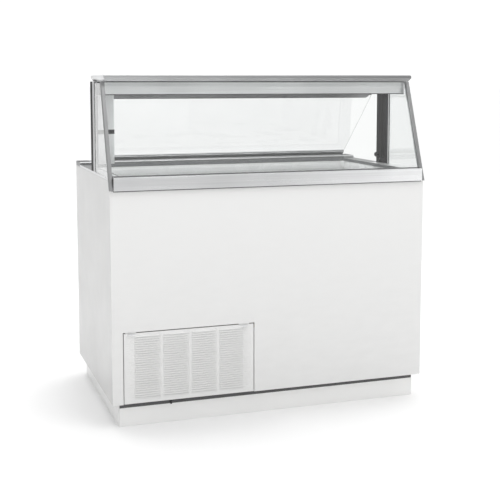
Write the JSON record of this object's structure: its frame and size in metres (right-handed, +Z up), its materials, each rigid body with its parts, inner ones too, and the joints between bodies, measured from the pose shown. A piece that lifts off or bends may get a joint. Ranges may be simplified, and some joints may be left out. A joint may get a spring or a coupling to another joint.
{
  "type": "ice cream dipping cabinet",
  "caption": "Insulated open-top freezer cabinet with a slanted glass sneeze guard, a clear hinged rear lid, a recessed base and a louvred compressor panel.",
  "frame": {"origin": "on the floor, under the centre of the cabinet's overall box", "axes": "+Z up, front (customer side) towards -Y, +X to the right of someone facing the front"},
  "size_m": [1.202, 0.7325, 1.235],
  "materials": {
    "white_paint": "gloss",
    "grey_paint": "satin",
    "black_paint": "satin",
    "tank_white": "satin",
    "stainless": "satin",
    "aluminium": "satin",
    "galvanised": "matte",
    "copper": "satin",
    "glass": "polished",
    "acrylic": "polished",
    "lamp_glass": "satin",
    "grey_plastic": "matte",
    "black_plastic": "satin",
    "foam": "matte",
    "rubber": "matte"
  },
  "bodies": {
    "cabinet": {"kick_front": "grey_paint", "kick_back": "grey_paint", "kick_left": "grey_paint", "kick_right": "grey_paint", "base_skid_left": "black_paint", "base_skid_right": "black_paint", "floor_pan": "galvanised", "front_panel": "white_paint", "side_panel_left": "white_paint", "side_panel_right": "white_paint", "back_panel": "white_paint", "inlet_gland": "black_plastic", "foam_insulation": "foam", "tank_liner": "tank_white", "drain_tube": "black_plastic", "evaporator_tubing": "copper", "breaker_frame": "grey_plastic", "rim_front": "stainless", "rim_left": "stainless", "rim_right": "stainless", "rim_rear": "stainless", "stile_left": "stainless", "stile_right": "stainless", "post_left": "stainless", "post_right": "stainless", "end_glass_left": "glass", "end_glass_right": "glass", "front_glass": "glass", "header_panel": "stainless", "rear_header": "stainless", "canopy_top": "stainless", "lamp_housing": "galvanised", "lamp_tube": "lamp_glass", "wire_chase": "stainless", "lid_hinge_1": "stainless", "lid_hinge_2": "stainless", "unit_base": "galvanised", "condenser_coil": "aluminium", "fan_shroud": "galvanised", "fan_motor": "black_paint", "compressor": "black_paint", "terminal_cover": "black_plastic", "filter_drier": "copper", "discharge_tube": "copper", "liquid_line": "copper", "suction_line": "copper", "junction_box": "galvanised"},
    "lid": {"lid_pane": "acrylic", "lid_top_rail": "aluminium", "lid_handle_bar": "aluminium"},
    "access_panel": {"louvre_panel": "white_paint"},
    "latch_left": {"panel_latch_1": "stainless"},
    "latch_right": {"panel_latch_2": "stainless"},
    "fan": {"fan_blade": "black_plastic"},
    "thermostat": {"thermostat_knob": "black_plastic"},
    "knob_left": {"post_knob_left": "black_plastic"},
    "knob_right": {"post_knob_right": "black_plastic"},
    "switch": {"lamp_switch": "black_plastic"},
    "plug": {"drain_plug": "rubber"}
  },
  "joints": [
    {"name": "lid_hinge", "type": "hinge", "parent": "cabinet", "child": "lid", "pos_m": [0, 0.014, 1.158], "axis": [1, 0, 0], "range_deg": [0, 130]},
    {"name": "access_panel_tilt", "type": "hinge", "parent": "cabinet", "child": "access_panel", "pos_m": [-0.3195, -0.354, 0.0855], "axis": [1, 0, 0], "range_deg": [0, 75]},
    {"name": "latch_left_turn", "type": "hinge", "parent": "access_panel", "child": "latch_left", "pos_m": [-0.533, -0.354, 0.3335], "axis": [0, -1, 0], "range_deg": [0, 90]},
    {"name": "latch_right_turn", "type": "hinge", "parent": "access_panel", "child": "latch_right", "pos_m": [-0.117, -0.354, 0.3335], "axis": [0, -1, 0], "range_deg": [0, 90]},
    {"name": "fan_spin", "type": "hinge", "parent": "cabinet", "child": "fan", "pos_m": [-0.374, -0.246, 0.21195], "axis": [0, 1, 0], "continuous": true},
    {"name": "thermostat_turn", "type": "hinge", "parent": "cabinet", "child": "thermostat", "pos_m": [-0.1225, -0.32, 0.25], "axis": [0, -1, 0], "range_deg": [-150, 150]},
    {"name": "knob_left_turn", "type": "hinge", "parent": "cabinet", "child": "knob_left", "pos_m": [-0.582, 0.003, 0.912], "axis": [0, 1, 0], "continuous": true},
    {"name": "knob_right_turn", "type": "hinge", "parent": "cabinet", "child": "knob_right", "pos_m": [0.582, 0.003, 0.912], "axis": [0, 1, 0], "continuous": true},
    {"name": "switch_rock", "type": "hinge", "parent": "cabinet", "child": "switch", "pos_m": [-0.5473, -0.003, 1.01], "axis": [1, 0, 0], "range_deg": [0, 16]},
    {"name": "plug_lift", "type": "slide", "parent": "cabinet", "child": "plug", "axis": [0, 0, 1], "range_m": [0, 0.08]}
  ]
}
